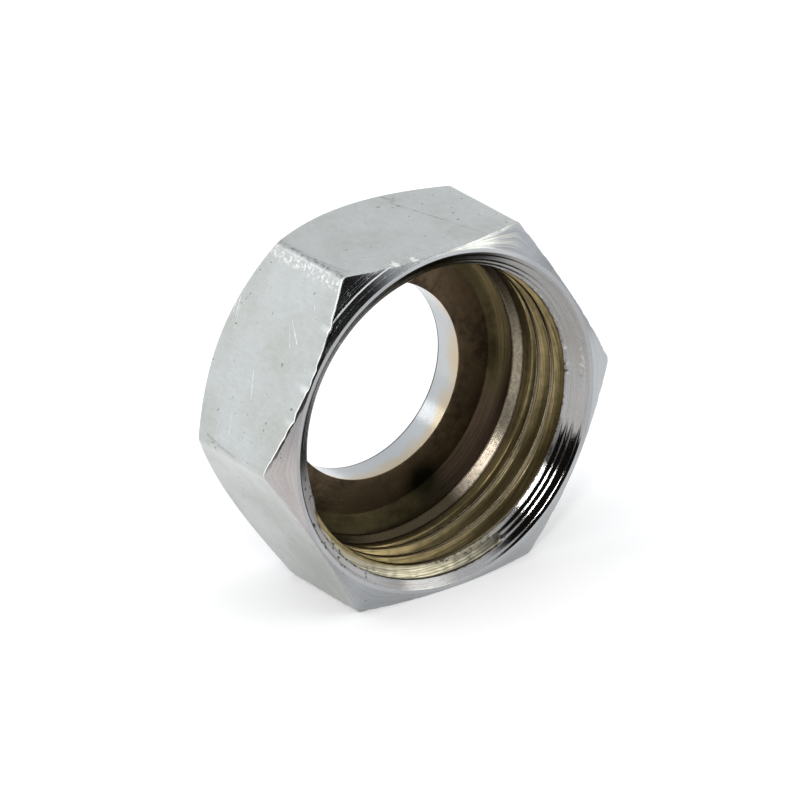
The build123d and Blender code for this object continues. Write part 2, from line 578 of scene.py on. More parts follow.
    def dress_mouth(self, grid: Grid) -> None:
        """Cuts the thread into the bore and the countersink, tears, stains and wears the mouth, and paints
        highlights on the crests, shade just behind them and a dark reflection on the upper countersink.

        Along the near lip the first turn of the groove fades out and the countersink runs on to the crest.

        Args:
            grid: the shell's grid, changed in place.
        """
        s, m, marks = self.sizes, self.mouth, grid.marks
        both = grid.rows_of(Zone.COUNTERSINK, Zone.THREAD)
        r, y = grid.rows[both, :, 0], grid.rows[both, :, 1]
        t = np.broadcast_to(grid.angle, r.shape)
        ragged = sum(self.noise.field(t, y, layer) for layer in m.ragged)
        near_mouth = 1 - smooth_step(y, *m.near_mouth)
        thread = self.thread_radius(t, y + ragged * near_mouth)
        lip = m.near_lip.over(t)
        for share, depth in ((lip, m.lip_depth), (turn_step(t, *m.groove_start), m.start_depth)):
            above_crest = np.clip(thread - s.crest_radius, 0, None)
            thread = thread - above_crest * share * (1 - smooth_step(y, *depth))
        slope = math.tan(math.radians(s.mouth_angle))
        on_cone = np.isin(both, grid.rows_of(Zone.COUNTERSINK))[:, None]
        cone = np.where(on_cone, r, s.mouth_radius - y / slope)
        start = 1 - turn_step(t, *m.ragged_start)
        plain_width, lip_width, start_width = m.meet_widths
        meet = bell(cone - thread, 0.0, plain_width + lip_width * lip + start_width * start) * near_mouth
        burr = np.clip(self.noise.field(t, y, m.burr), 0, 1) * meet * turn_step(t, *m.burr_arc)
        cut = soft_max(cone, thread, m.merge) - m.burr_height * burr
        is_edge = smooth_step(cone, *(s.mouth_radius + margin for margin in m.edge_margin))
        grid.rows[both, :, 0] = cone * (1 - is_edge) + cut * is_edge

        speck = self.noise.field(t, y, m.speck)
        height, over = m.bright_burr
        white, floor = m.white_specks
        wear = height * np.clip(burr * (speck > over), 0, 1)
        marks[WEAR][both] = wear + white * start * np.clip(speck - floor, 0, 1) * meet
        base, spread, clean = m.meet_grime
        dark = np.clip(meet * (base + spread * speck) * (1 - clean * start), 0, 1)
        groove = smooth_step(thread - np.maximum(cone, s.crest_radius), *m.groove_height)
        groove = groove * (1 - smooth_step(y, *m.groove_depth))
        stained = m.stained_arc.turned(t)
        marks[GROOVE][both] = np.maximum(groove, stained * m.stained_depth.over(y))
        strength, floor, middle, width, most = m.chips
        chips = strength * stained * np.clip(speck - floor, 0, 1) * bell(y, middle, width)
        dark = np.maximum(dark, np.clip(chips, 0, most))
        phase = y - (s.groove_at_zero - s.pitch * t / TURN)
        off = phase - np.round(phase / s.pitch) * s.pitch
        on_thread = m.crest_depth.over(y)
        facing = np.maximum(turn_step(t, *m.lit_from), 1 - turn_step(t, *m.lit_until))
        base, spread = m.lit_shares
        # Painted highlight along each crest, stronger on the arc that faces the light.
        marks[CREST_HIGHLIGHT][both] = m.lit_crest.over(off) * on_thread * (base + spread * facing)
        # Dirt where the cone meets the thread and on chips, with painted shade just behind each crest.
        marks[GRIME_AND_SHADE][both] = np.maximum(dark, m.shaded_share * m.shaded_crest.over(off) * on_thread)
        # Painted dark reflection on the upper countersink, carried by the tarnish mark.
        marks[TARNISH_AND_SHADE][both] = m.dark_reflection_arc.turned(t) * m.dark_reflection_depth.over(y)

    def tarnish_and_shade_inside(self, grid: Grid) -> None:
        """Darkens parts of the front rim, leaves a blot on the seat and the taper, and paints shade over an
        arc of them at the lower left.

        Args:
            grid: the shell's grid, changed in place.
        """
        m, t, tarnish = self.mouth, grid.angle, grid.marks[TARNISH_AND_SHADE]
        rise, fall = m.rim_right
        right, left = m.rim_shares
        both_sides = turn_step(t, *rise) + 1 - turn_step(t, *fall)
        tarnish[grid.rows_of(Zone.FRONT_RIM)] = right * both_sides + left * m.rim_left.turned(t)
        inner = grid.rows_of(Zone.TAPER, Zone.SEAT)
        r = grid.rows[inner, :, 0]
        strength, place, spread, radius, width = m.blot
        blot = strength * bell(t, math.radians(place), spread) * bell(r, radius, width)
        # Painted shade over the lower left of the seat and the taper.
        base, on_taper = m.painted_shade_shares
        dull = (base + on_taper * smooth_step(r, *m.painted_shade_taper)) * m.dull_arc.turned(t)
        tarnish[inner] = np.maximum(blot, dull)

    def dress_edges(self, grid: Grid) -> None:
        """Nicks the front edges of the flats, rubs the hexagon's corners and darkens a band beside them,
        paints shade on stretches of the front chamfer, and bows the flats a little.

        Args:
            grid: the shell's grid, changed in place.
        """
        e, t, rows, marks = self.edges, grid.angle[None, :], grid.rows, grid.marks
        flat_rows, chamfer_rows = grid.rows_of(Zone.FLATS), grid.rows_of(Zone.FRONT_CHAMFER)
        level = np.zeros_like(t)
        last = rows[flat_rows[-1]][None]
        away = np.abs(rows - last)
        reach = np.minimum(away[:, :, 1], away[:, :, 0] + e.rim_step)
        nick = level
        for layer, (floor, depth) in ((e.sharp, e.sharp_nick), (e.wide, e.wide_nick)):
            nick = nick + np.clip(self.noise.field(t, level, layer) - floor, 0, 1) * depth
        band = np.zeros(rows.shape[:2])
        edge = np.concatenate([flat_rows[-2:], chamfer_rows[:3]])
        band[edge] = bell(reach[edge], 0.0, e.nick_reach)
        for notch in e.bright_notches + e.other_notches:
            nick = nick + notch.depth * notch.over(t)
        rows[:, :, 0] -= nick * band
        keen = 1 - e.keen_off.turned(t)
        share, gain, base = e.keen_wear
        nicked = np.clip(gain * nick + base, 0, 1)
        marks[WEAR][:] = np.clip(marks[WEAR] + share * keen * band * nicked, 0, 1)

        corner_radius = self.sizes.half_flats / math.cos(SECTOR / 2)
        from_corner = (np.mod(t + SECTOR / 2, SECTOR) - SECTOR / 2) * corner_radius
        shares = []
        # The first band lightens one side of each corner; the second darkens a band just off the corner on
        # the other side.
        for (base, gain, place), line in ((e.rubbed_corner, e.rubbed_line), (e.corner_darkening, e.darkening_line)):
            peak = base + gain * bell(t, math.radians(place), e.corner_spread)
            shares.append(peak * bell(from_corner, *line))
        marks[WEAR][flat_rows] = np.clip(marks[WEAR][flat_rows] + shares[0], 0, 1)
        marks[GRIME_AND_SHADE][flat_rows] = np.maximum(marks[GRIME_AND_SHADE][flat_rows], shares[1])
        for notch in e.bright_notches:
            marks[WEAR][edge] += e.notch_wear * notch.over(t) * band[edge]
        # Painted shade on stretches of the front chamfer, carried by the tarnish mark.
        pale = sum(window.turned(t) for window in e.pale)
        share, low_share = e.chamfer_shade_shares
        marks[TARNISH_AND_SHADE][chamfer_rows] = share * pale + low_share * e.shaded_low_left.turned(t)
        bow = self.noise.field(np.broadcast_to(t, rows.shape[:2]), rows[:, :, 1], e.bow) - e.bow.height
        rows[flat_rows, :, 0] += bow[flat_rows]

    def build(self) -> bpy.types.Object:
        """Works out the grid, dresses it and makes the mesh.

        Returns:
            The nut's object, at the origin.
        """
        angle = self.angles()
        rows, zones = self.section(angle)
        marks = {name: np.zeros(rows.shape[:2]) for name in MARKS}
        grid = Grid(angle, rows, zones, marks)
        for work in (self.cut_rings, self.dress_mouth, self.tarnish_and_shade_inside, self.dress_edges):
            work(grid)
        r, y = rows[:, :, 0] * MM, rows[:, :, 1] * MM
        points = np.stack([r * np.cos(angle), y, r * np.sin(angle)], axis=-1)
        steps = np.linalg.norm(np.roll(rows, -1, axis=0) - rows, axis=-1).mean(axis=1) * MM
        run = np.concatenate([[0.0], np.cumsum(steps)])
        turns = np.concatenate([angle, angle[:1] + TURN]) / TURN
        return GridMesh("compression_nut_body", points, zones, run, turns, marks).make()


@dataclass
class GridMesh:
    """A grid that closes on itself both ways, made a mesh with a turned UV map and point attributes."""

    name: str
    points: np.ndarray
    zones: np.ndarray
    run: np.ndarray
    turns: np.ndarray
    marks: Marks

    def make(self) -> bpy.types.Object:
        """Makes the mesh: one quad between neighbouring rows and columns, its face pointing outwards.

        The volume is the sum of each face vector times the face's middle; if negative, the quads turn round.

        Returns:
            The new object, linked to the scene.
        """
        count_rows, count_columns = self.points.shape[:2]
        i, j = np.meshgrid(np.arange(count_rows), np.arange(count_columns), indexing="ij")
        i2, j2 = (i + 1) % count_rows, (j + 1) % count_columns
        row, row2 = i * count_columns, i2 * count_columns
        quads = np.stack([row + j, row + j2, row2 + j2, row2 + j], axis=-1).reshape(-1, 4)
        uv_u = np.stack([self.turns[k] for k in (j, j + 1, j + 1, j)], axis=-1).reshape(-1, 4)
        uv_v = np.stack([self.run[k] for k in (i, i, i + 1, i + 1)], axis=-1).reshape(-1, 4)
        flat = self.points.reshape(-1, 3)
        face_vector = np.cross(flat[quads[:, 2]] - flat[quads[:, 0]], flat[quads[:, 3]] - flat[quads[:, 1]])
        volume = np.einsum("ij,ij->i", face_vector, flat[quads].mean(axis=1)).sum()
        if volume < 0:
            quads, uv_u, uv_v = quads[:, ::-1], uv_u[:, ::-1], uv_v[:, ::-1]
            face_vector = -face_vector
        normals = np.zeros_like(flat)
        for corner in range(4):
            np.add.at(normals, quads[:, corner], face_vector)
        normals /= np.maximum(np.linalg.norm(normals, axis=1, keepdims=True), 1e-20)

        mesh = bpy.data.meshes.new(self.name)
        mesh.from_pydata(flat.tolist(), [], quads.tolist())
        layer = mesh.uv_layers.new(name=UV_TURNED)
        layer.data.foreach_set("uv", np.stack([uv_u, uv_v], axis=-1).astype(np.float32).ravel())
        for name, values in self.marks.items():
            attribute = mesh.attributes.new(name, "FLOAT", "POINT")
            attribute.data.foreach_set("value", values.astype(np.float32).ravel())
        mesh.polygons.foreach_set("material_index", np.repeat(self.zones, count_columns).astype(np.int32))
        mesh.shade_smooth()
        mesh.update()
        mesh.normals_split_custom_set_from_vertices(normals.astype(np.float32))
        made = bpy.data.objects.new(self.name, mesh)
        bpy.context.scene.collection.objects.link(made)
        return made


class Nodes:
    """A node tree, with one short method for each kind of node that the finishes and the world use."""

    def __init__(self, tree: bpy.types.NodeTree, output: str) -> None:
        """Empties the tree and gives it an output of the kind that is named."""
        tree.nodes.clear()
        self.tree, self.output = tree, tree.nodes.new(output)

    def feed(self, socket: Socket, value: object) -> None:
        """Links a socket to an output, or sets its own value when given a plain number or tuple."""
        if isinstance(value, Socket):
            self.tree.links.new(value, socket)
        else:
            socket.default_value = value

    def new(self, kind: str, inputs: dict | None = None, **settings: object) -> bpy.types.Node:
        """Makes a node.

        Args:
            kind: the node's type, after its opening word.
            inputs: what each of its inputs, by name or number, is fed.
            **settings: its properties.

        Returns:
            The node.
        """
        node = self.tree.nodes.new("ShaderNode" + kind)
        for name, setting in settings.items():
            setattr(node, name, setting)
        for key, value in (inputs or {}).items():
            self.feed(node.inputs[key], value)
        return node

    def maths(self, operation: str, a: Value, b: Value = 0.0, clamp: bool = False) -> Socket:
        """One Math node, its result held between 0 and 1 if clamp is set."""
        return self.new("Math", {0: a, 1: b}, operation=operation, use_clamp=clamp).outputs[0]

    def times(self, a: Value, b: Value, clamp: bool = False) -> Socket:
        """The product of two values."""
        return self.maths("MULTIPLY", a, b, clamp)

    def plus(self, a: Value, b: Value) -> Socket:
        """The sum of two values."""
        return self.maths("ADD", a, b)

    def minus(self, a: Value, b: Value) -> Socket:
        """The first value less the second."""
        return self.maths("SUBTRACT", a, b)

    def larger(self, a: Value, b: Value) -> Socket:
        """The larger of two values."""
        return self.maths("MAXIMUM", a, b)

    def vector(self, operation: str, a: object, b: object = (0.0, 0.0, 0.0)) -> Socket:
        """One Vector Math node.

        Args:
            operation: the node's operation.
            a: first vector.
            b: second vector, or the factor that SCALE uses.

        Returns:
            The vector result, or the plain value of LENGTH and DOT_PRODUCT.
        """
        second = "Scale" if operation == "SCALE" else 1
        node = self.new("VectorMath", {0: a, second: b}, operation=operation)
        return node.outputs["Value" if operation in ("LENGTH", "DOT_PRODUCT") else "Vector"]

    def split(self, vector: Socket) -> tuple[Socket, ...]:
        """A vector's three parts."""
        return tuple(self.new("SeparateXYZ", {0: vector}).outputs)

    def join(self, x: Value, y: Value, z: Value) -> Socket:
        """A vector from three parts."""
        return self.new("CombineXYZ", {0: x, 1: y, 2: z}).outputs[0]

    def noise(self, vector: Socket, scale: float, detail: float, rough: float) -> Socket:
        """A Noise texture's value, mostly from 0.3 to 0.7; detail is its octaves, rough their strength."""
        inputs = {"Vector": vector, "Scale": scale, "Detail": detail, "Roughness": rough}
        return self.new("TexNoise", inputs).outputs[0]

    def span(self, value: Socket, low: float, high: float, *to: float, smooth: bool = False) -> Socket:
        """A clamped Map Range node, from low and high to the two results in to, or else to 0 and 1."""
        settings = {"interpolation_type": "SMOOTHSTEP" if smooth else "LINEAR"}
        return self.new("MapRange", dict(enumerate((value, low, high, *to))), **settings).outputs[0]

    def window(self, value: Socket, rise: Pair, fall: Pair, smooth: bool = False) -> Socket:
        """A stretch of a value that fades in over the pair called rise and out over the one called fall."""
        fade_in = self.span(value, *rise, smooth=smooth)
        return self.times(fade_in, self.span(value, *fall[::-1], smooth=smooth))

    def blend(self, share: Value, a: object, b: object, mode: str = "MIX") -> Socket:
        """A colour Mix node: a share of b over a, in the blend type that is named."""
        return self.new("Mix", {"Factor": share, 6: a, 7: b}, data_type="RGBA", blend_type=mode).outputs[2]


class Shader(Nodes):
    """A material's node tree, the places that its finish reads, and the look that it has so far."""

    def __init__(self, name: str) -> None:
        """Makes an empty material of that name."""
        self.material = bpy.data.materials.new(name)
        self.material.use_nodes = True
        super().__init__(self.material.node_tree, "ShaderNodeOutputMaterial")

    def locate(self) -> None:
        """Reads the place, the turns round the axis and the metres along the section."""
        self.place = self.new("TexCoord").outputs["Object"]
        self.x, self.y, self.z = self.split(self.place)
        self.around, self.run, _ = self.split(self.new("UVMap", uv_map=UV_TURNED).outputs[0])

    def flat_place(self) -> Socket:
        """The place without its depth along the axis."""
        return self.join(self.x, 0.0, self.z)

    def radius(self) -> Socket:
        """The distance from the axis, in metres."""
        return self.vector("LENGTH", self.flat_place())

    def crumbs(self, scale: float, detail: float, rough: float = 0.6) -> Socket:
        """A Noise texture's value at the place, at so many features per metre."""
        return self.noise(self.place, scale, detail, rough)

    def wobble(self, scale: float, detail: float, reach: float) -> Socket:
        """The crumbs less a half, times a reach in metres."""
        return self.times(self.minus(self.crumbs(scale, detail), 0.5), reach)

    def arc(self, rise: Pair, fall: Pair, smooth: bool = False) -> Socket:
        """The window on the turns round the axis, with its pairs in degrees."""
        rise, fall = (tuple(end / 360 for end in pair) for pair in (rise, fall))
        return self.window(self.around, rise, fall, smooth)

    def mark(self, name: str) -> Socket:
        """The value of one of the mesh's point attributes."""
        return self.new("Attribute", attribute_name=name).outputs["Fac"]

    def paint(self, share: Value, colour: object, strength: float | None = None, mode: str = "MIX") -> None:
        """Blends a colour over the look's, by a share that is first multiplied by any strength."""
        share = share if strength is None else self.times(share, strength)
        self.colour = self.blend(share, self.colour, colour, mode)

    def shade(self, tone: Socket) -> None:
        """Multiplies the look's colour by a grey tone."""
        self.paint(1.0, self.join(tone, tone, tone), mode="MULTIPLY")

    def roughen(self, share: Socket, amount: float) -> None:
        """Adds an amount to the look's roughness, by a share."""
        self.rough = self.plus(self.rough, self.times(share, amount))

    def press(self, height: Socket, distance: float, strength: Value = 1.0) -> None:
        """Adds a Bump node to the look's normal; distance is what a height of 1 stands for, in metres."""
        inputs = {"Strength": strength, "Distance": distance, "Height": height} | self.normal
        self.normal = {"Normal": self.new("Bump", inputs).outputs[0]}

    def hairline(self, start: Vector, end: Vector, half_width: float) -> Socket:
        """A straight hairline: 1 on the segment from start to end, falling to 0 at half_width from it.

        The nearest point is start + share * (end - start), with share the dot product held between 0 and 1.

        Args:
            start: one end.
            end: the other end.
            half_width: half its width.

        Returns:
            The mask.
        """
        along = end - start
        off = self.vector("SUBTRACT", self.place, tuple(start))
        reach = self.vector("DOT_PRODUCT", off, tuple(along / along.length_squared))
        nearest = self.vector("SCALE", tuple(along), self.times(reach, 1.0, clamp=True))
        gap = self.vector("LENGTH", self.vector("SUBTRACT", off, nearest))
        return self.span(gap, half_width, half_width * 0.3)

    def surface(self, inputs: dict[str, object]) -> bpy.types.Material:
        """Ends the material with a Principled shader whose inputs are fed, and gives the material."""
        self.feed(self.output.inputs["Surface"], self.new("BsdfPrincipled", inputs).outputs[0])
        return self.material


@dataclass(frozen=True)
class Hairline:
    """A scratch or dark line on a flat: the flat's angle, and its ends as (along the flat, depth) in mm."""

    flat: float
    start: Pair
    end: Pair
    half_width: float

    def ends(self, half_flats: float) -> tuple[Vector, ...]:
        """The two ends in metres, on a flat that is half_flats millimetres from the axis."""
        cos_t, sin_t = math.cos(math.radians(self.flat)), math.sin(math.radians(self.flat))
        return tuple(
            Vector((half_flats * cos_t - along * sin_t, depth, half_flats * sin_t + along * cos_t)) * MM
            for along, depth in (self.start, self.end)
        )


BRIGHT_LINES = (
    Hairline(150, (-3.88, 14.61), (-1.99, 14.23), 0.050),
    Hairline(150, (-3.48, 14.96), (-2.24, 14.74), 0.040),
    Hairline(150, (-3.1, 14.2), (-0.9, 13.7), 0.035),
    Hairline(150, (-4.36, 6.21), (-2.45, 4.12), 0.055),
    Hairline(150, (-3.3, 5.9), (-1.9, 5.0), 0.040),
    Hairline(150, (1.79, 8.68), (4.52, 7.41), 0.045),
    Hairline(150, (2.9, 8.9), (3.9, 8.5), 0.035),
    Hairline(150, (-2.19, 10.93), (-0.75, 8.97), 0.025),
    Hairline(150, (6.6, 9.3), (8.4, 8.5), 0.035),
    Hairline(150, (7.3, 10.8), (9.0, 10.4), 0.030),
    Hairline(150, (-6.6, 3.9), (-6.2, 3.6), 0.06),
)
DARK_LINES = (
    Hairline(150, (1.84, 11.95), (2.02, 11.85), 0.10),
    Hairline(150, (9.9, 4.6), (4.2, 1.1), 0.030),
    Hairline(90, (-3.33, 12.89), (-5.0, 6.2), 0.13),
    Hairline(90, (-4.9, 6.6), (-6.3, 0.6), 0.07),
    Hairline(90, (10.9, 12.4), (9.3, 2.2), 0.10),
    Hairline(90, (-3.3, 15.0), (-3.9, 13.2), 0.22),
    Hairline(90, (-4.4, 13.9), (-3.5, 12.9), 0.12),
    Hairline(90, (-8.4, 5.2), (-8.3, 5.0), 0.10),
    Hairline(90, (-3.8, 3.8), (-3.7, 3.65), 0.07),
    Hairline(150, (9.55, 11.6), (10.15, 7.4), 0.14),
    Hairline(150, (9.95, 10.4), (10.30, 5.2), 0.10),
)


@dataclass(frozen=True)
class Arc:
    """A turned line on the front chamfer, in mm and degrees: its height sets how it catches light."""

    radius: float
    half_width: float
    start: float
    end: float
    height: float
    fade: float = 4.0


CHAMFER_ARCS = (
    Arc(18.85, 0.085, 107, 133, 0.036),
    Arc(19.22, 0.040, 106, 126, 0.005),
    Arc(19.42, 0.040, 108, 123, 0.004),
    Arc(19.72, 0.040, 110, 122, 0.004),
    Arc(18.36, 0.035, 98, 142, 0.004),
)


@dataclass(frozen=True)
class MetalFinish:
    """One finish of the plated brass: its colours, its gloss and the marks that its cut left."""

    name: str
    plate: Colour
    stain: Colour
    rough: Pair
    stain_share: float = 0.4
    anisotropic: float = 0.0
    ring_width: float = 0.00012
    ring_depth: float = 0.0000025
    ring_shade: float = 0.06
    grain_depth: float = 0.0000015
    pit_depth: float = 0.0
    bare: Colour = (0.86, 0.86, 0.82, 1.0)
    near_black: Colour = (0.035, 0.03, 0.022, 1.0)
    khaki: Colour | None = None
    edge_tint: float = 1.0
    tarnish: Colour = (0.022, 0.021, 0.024, 1.0)
    pit_colour: Colour = (0.12, 0.11, 0.10, 1.0)
    ring_share: float = 0.5
    streak_share: float = 0.55

    def dress(self) -> bpy.types.Material:
        """Builds the material: stains, rings, grain, pits and marks on a metallic surface.

        Rings are noise read at (cos t, sin t, run / ring width), so they follow the cut round the axis.

        Returns:
            The material.
        """
        sh = Shader(self.name)
        sh.locate()
        radial = sh.vector("NORMALIZE", sh.flat_place())
        cos_t, _, sin_t = sh.split(radial)
        cloud, fleck, grain = sh.crumbs(130.0, 4.0), sh.crumbs(1100.0, 3.0), sh.crumbs(7000.0, 2.0)
        circle = (sh.times(part, 1.6) for part in (cos_t, sin_t))
        ring_place = sh.join(*circle, sh.maths("DIVIDE", sh.run, self.ring_width))
        sh.rings = sh.noise(ring_place, 1.0, 3.0, 0.65)
        fine_rings = sh.noise(ring_place, 3.7, 2.0, 0.6)
        mottle = sh.plus(sh.times(cloud, 0.65), sh.times(fleck, 0.35))
        stain = sh.span(mottle, 0.40, 0.66, 0.0, self.stain_share, smooth=True)
        plain = 1 - self.ring_share
        fine = sh.plus(sh.times(grain, 0.6 * plain), sh.times(fleck, 0.4 * plain))
        mixed = sh.plus(sh.times(sh.rings, self.ring_share), fine)
        sh.colour = sh.blend(stain, self.plate, self.stain)
        sh.shade(sh.span(mixed, 0.32, 0.68, 1.0 - self.ring_shade, 1.0 + self.ring_shade))
        sh.rough, sh.normal = sh.span(mottle, 0.36, 0.64, *self.rough), {}
        sh.press(sh.rings, self.ring_depth * 4.0)
        sh.press(fine_rings, self.ring_depth * 1.5)
        sh.press(grain, self.grain_depth)
        self.fill_grooves(sh, mottle)
        self.detail(sh)
        self.pit(sh)
        self.age(sh)
        inputs = {
            "Metallic": 1.0,
            "Anisotropic": self.anisotropic,
            "Anisotropic Rotation": 0.25,
            "Specular Tint": (self.edge_tint,) * 3 + (1.0,),
            "Base Color": sh.colour,
            "Roughness": sh.rough,
        } | sh.normal
        if self.anisotropic > 0:
            inputs["Tangent"] = sh.vector("CROSS_PRODUCT", (0.0, 1.0, 0.0), radial)
        return sh.surface(inputs)

    def fill_grooves(self, sh: Shader, mottle: Socket) -> None:
        """Stains the groove of the thread, in streaks along the cut, where the finish has a khaki."""
        if self.khaki is None:
            return
        groove = sh.mark(GROOVE)
        patchy = sh.plus(sh.times(sh.rings, self.streak_share), sh.times(mottle, 1 - self.streak_share))
        deep = tuple(part * 0.28 for part in self.khaki[:3]) + (1.0,)
        streak = sh.blend(sh.span(patchy, 0.40, 0.58, 0.0, 0.95), self.khaki, deep)
        sh.paint(groove, streak)
        sh.roughen(groove, 0.10 + 0.15 * self.streak_share)

    def pit(self, sh: Shader) -> None:
        """Adds small dark pits, where the finish has a pit depth."""
        if self.pit_depth > 0:
            pits = sh.span(sh.crumbs(1900.0, 1.0, 0.4), 0.735, 0.77, smooth=True)
            sh.press(sh.minus(1.0, pits), self.pit_depth)
            sh.paint(pits, self.pit_colour, 0.6)

    def age(self, sh: Shader) -> None:
        """Adds what the point attributes mark, broken up by fine crumbs: wear; dark dirt with painted shade;
        and tarnished stains with painted shade and a painted dark reflection.
        """
        crumbs = sh.crumbs(2400.0, 3.0, 0.7)
        deep = sh.larger(sh.minus(sh.mark(WEAR), 1.0), 0.0)
        crushed = sh.plus(crumbs, sh.times(deep, 0.12))
        wear = sh.times(sh.mark(WEAR), sh.span(crushed, 0.50, 0.60, 0.0, 1.6), clamp=True)
        sh.paint(wear, self.bare)
        # Dark dirt mixed with painted shade, as the point attribute marks it, broken up by crumbs and
        # roughened.
        grime = sh.times(sh.mark(GRIME_AND_SHADE), sh.span(crumbs, 0.36, 0.52, 1.4, 0.35), clamp=True)
        sh.paint(grime, self.near_black, 0.92)
        sh.roughen(grime, 0.3)
        sh.paint(sh.mark(TARNISH_AND_SHADE), self.tarnish, 0.85)

    def detail(self, sh: Shader) -> None:
        """What only this finish has; the plain finish adds nothing."""


@dataclass(frozen=True)
class FlatFinish(MetalFinish):
    """The rolled flats: fine brush marks along the bar, hairlines, a few dark lines, and painted shade
    towards the bottom.
    """

    half_flats: float = 18.0
    rim_radius: float = 17.80
    chamfer_angle: float = 27.0
    brush: Triple = (2600.0, 700.0, 2600.0)
    brush_depth: float = 0.0000022
    hair_spread: float = 1.3
    scratch: Colour = (1.0, 1.0, 0.99, 1.0)
    curl: Colour = (1.0, 1.0, 0.98, 1.0)
    dark_line: Colour = (0.16, 0.15, 0.14, 1.0)
    curl_arc: Pairs = ((117, 119), (179, 181))
    curl_depth: Pairs = ((0.00010, 0.00014), (0.00024, 0.00030))
    torn_arc: Pairs = ((128, 138), (176, 181))
    torn_depth: Pair = (0.00014, 0.00009)
    edge_wobble: float = 0.00030

    def detail(self, sh: Shader) -> None:
        """Adds the brush marks with painted shade towards the bottom, the torn front edge and the hairlines.
        """
        parts = zip((sh.x, sh.y, sh.z), self.brush)
        brush = sh.noise(sh.join(*(sh.times(part, scale) for part, scale in parts)), 1.0, 3.0, 0.7)
        # Painted shade: the flats darken to 0.8 from the axis's height down to 7 mm below it.
        low = sh.span(sh.z, -0.007, 0.0, 0.80, 1.0, smooth=True)
        sh.shade(sh.times(sh.span(brush, 0.3, 0.7, 0.955, 1.045), low))
        sh.press(brush, self.brush_depth)
        self.tear(sh)
        broken = sh.span(sh.crumbs(2300.0, 2.0), 0.36, 0.60, 0.25, 1.0)
        bright, dark = (sh.times(self.lines(sh, lines), broken) for lines in (BRIGHT_LINES, DARK_LINES))
        sh.paint(bright, self.scratch)
        sh.paint(dark, self.dark_line, 0.42)

    def lines(self, sh: Shader, lines: tuple[Hairline, ...]) -> Socket:
        """The mask of a set of hairlines: the largest of their own masks."""
        spread = MM * self.hair_spread
        masks = (sh.hairline(*line.ends(self.half_flats), line.half_width * spread) for line in lines)
        return functools.reduce(sh.larger, masks)

    def tear(self, sh: Shader) -> None:
        """Adds the white curl and the black cut on the front edge.

        The edge is at y = (r - rim radius) * tan(chamfer angle); both are bands of the depth behind it.
        """
        radius = sh.radius()
        slope = math.tan(math.radians(self.chamfer_angle))
        drop = sh.times(sh.minus(radius, self.rim_radius * MM), slope)
        behind = sh.plus(sh.minus(sh.y, drop), sh.wobble(1100.0, 3.0, self.edge_wobble))
        near, torn = sh.arc(*self.curl_arc), sh.arc(*self.torn_arc)
        curl = sh.window(behind, *self.curl_depth)
        patchy = sh.span(sh.crumbs(420.0, 2.0), 0.36, 0.56, 0.15, 0.95)
        sh.paint(sh.times(curl, sh.times(near, patchy)), self.curl)
        cut = sh.times(sh.span(behind, *self.torn_depth), torn)
        sh.paint(cut, self.near_black, 0.92)


@dataclass(frozen=True)
class ChamferFinish(MetalFinish):
    """The front chamfer: turned lines, a warm stretch, a dark torn edge and cream-coloured streaks of painted
    highlight.
    """

    warmth: Colour = (1.16, 1.06, 1.02, 1.0)
    # colour of the painted highlight streaks
    cream: Colour = (0.62, 0.62, 0.54, 1.0)
    torn_flat: float = 150.0
    half_flats: float = 18.0
    warm_arc: Pairs = ((151.2, 172.8), (194.4, 223.2))
    sheen_arc: Pairs = ((56, 64), (84, 92))
    torn_arc: Pairs = ((126, 136), (172, 181))
    torn_depth: Pair = (0.00036, 0.00027)
    torn_wobble: float = 0.00040
    thin_arc: Pair = (152, 166)
    thinning: float = 0.00014
    line_wobble: float = 0.00008
    line_gain: Pair = (25, 0.8)

    def detail(self, sh: Shader) -> None:
        """Adds the turned lines, the warm stretch, the torn edge and the cream-coloured streaks of painted
        highlight.

        The torn edge is a band of the depth inside the left flat: half_flats - (x cos a + z sin a).
        """
        radius = sh.radius()
        wobble = sh.wobble(700.0, 2.0, self.line_wobble)
        gain, most = self.line_gain
        for arc in CHAMFER_ARCS:
            off = sh.maths("ABSOLUTE", sh.minus(sh.plus(radius, wobble), arc.radius * MM))
            ring = sh.span(off, arc.half_width * MM, 0.0, smooth=True)
            ends = sh.arc((arc.start - arc.fade, arc.start), (arc.end, arc.end + arc.fade))
            mask = sh.times(ring, ends)
            sh.press(mask, arc.height * MM)
            sh.paint(mask, self.bare, min(arc.height * gain, most))
        warm = sh.arc(*self.warm_arc)
        sh.paint(warm, sh.blend(1.0, sh.colour, self.warmth, "MULTIPLY"))
        lean = math.radians(self.torn_flat)
        outward = sh.plus(sh.times(sh.x, math.cos(lean)), sh.times(sh.z, math.sin(lean)))
        lower = sh.times(sh.span(sh.around, *(end / 360 for end in self.thin_arc)), self.thinning)
        inward = sh.plus(sh.minus(self.half_flats * MM, outward), lower)
        ragged = sh.plus(inward, sh.wobble(1100.0, 3.0, self.torn_wobble))
        torn = sh.arc(*self.torn_arc)
        under = sh.times(torn, sh.span(ragged, *self.torn_depth))
        sh.paint(under, self.near_black, 0.95)
        # Painted highlight: cream-coloured streaks along the turned rings at the upper right.
        sheen_streaks = sh.arc(*self.sheen_arc)
        sheen_streaks = sh.times(sheen_streaks, sh.span(sh.rings, 0.46, 0.58, 0.0, 0.75))
        sh.paint(sheen_streaks, self.cream)


